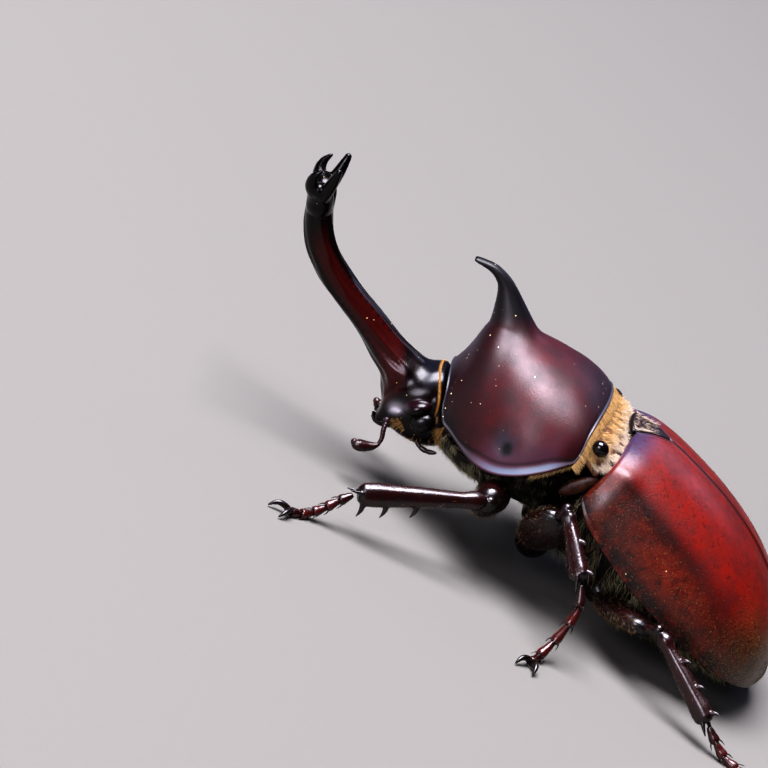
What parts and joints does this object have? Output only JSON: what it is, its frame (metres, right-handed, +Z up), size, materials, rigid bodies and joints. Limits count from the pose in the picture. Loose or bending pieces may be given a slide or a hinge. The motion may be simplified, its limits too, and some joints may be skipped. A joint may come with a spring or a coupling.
{
  "type": "rhinoceros beetle",
  "caption": "Male rhinoceros beetle standing on its feet: long forked head horn, short forward-bent horn on the domed thorax, closed red-brown wing cases.",
  "frame": {"origin": "centre of the whole beetle's bounding box seen from above, on the plane that its feet stand on", "axes": "+Z up; the beetle faces -Y, its head horn pointing that way; its left side is at +X"},
  "size_m": [0.0566, 0.0772, 0.0286],
  "materials": {
    "shield_shell": "dark maroon insect shell, finely wrinkled satin",
    "wing_case": "deep red-brown insect shell, glossy under very short golden down",
    "horn": "nearly black glossy insect shell with fine pits, dark red on the horn's sides",
    "underside": "dark brown insect shell, satin",
    "leg": "dark red-brown insect shell, polished",
    "eye": "black faceted insect eye, wet-looking gloss",
    "feeler": "dark red-brown insect shell, polished",
    "hair": "golden to pale beige insect hair"
  },
  "bodies": {
    "root": {"abdomen": "underside", "antenna_club_left": "feeler", "antenna_club_right": "feeler", "antenna_stalk_left": "feeler", "antenna_stalk_right": "feeler", "claws_front_left": "leg", "claws_front_right": "leg", "claws_hind_left": "leg", "claws_hind_right": "leg", "claws_middle_left": "leg", "claws_middle_right": "leg", "coxa_front_left": "underside", "coxa_front_right": "underside", "coxa_hind_left": "underside", "coxa_hind_right": "underside", "coxa_middle_left": "underside", "coxa_middle_right": "underside", "elytron_left": "wing_case", "elytron_right": "wing_case", "eye_left": "eye", "eye_right": "eye", "femur_front_left": "leg", "femur_front_right": "leg", "femur_hind_left": "leg", "femur_hind_right": "leg", "femur_middle_left": "leg", "femur_middle_right": "leg", "head": "horn", "head_horn_fork_left": "horn", "head_horn_fork_right": "horn", "head_horn_lower": "horn", "head_horn_upper": "horn", "mandible_left": "horn", "mandible_right": "horn", "mesothorax": "shield_shell", "metathorax": "underside", "palp_left": "feeler", "palp_right": "feeler", "pronotum": "shield_shell", "prosternum": "underside", "pygidium": "underside", "scutellum": "shield_shell", "tarsus_front_left": "leg", "tarsus_front_right": "leg", "tarsus_hind_left": "leg", "tarsus_hind_right": "leg", "tarsus_middle_left": "leg", "tarsus_middle_right": "leg", "thoracic_horn": "horn", "tibia_front_left": "leg", "tibia_front_right": "leg", "tibia_hind_left": "leg", "tibia_hind_right": "leg", "tibia_middle_left": "leg", "tibia_middle_right": "leg"}
  },
  "joints": []
}
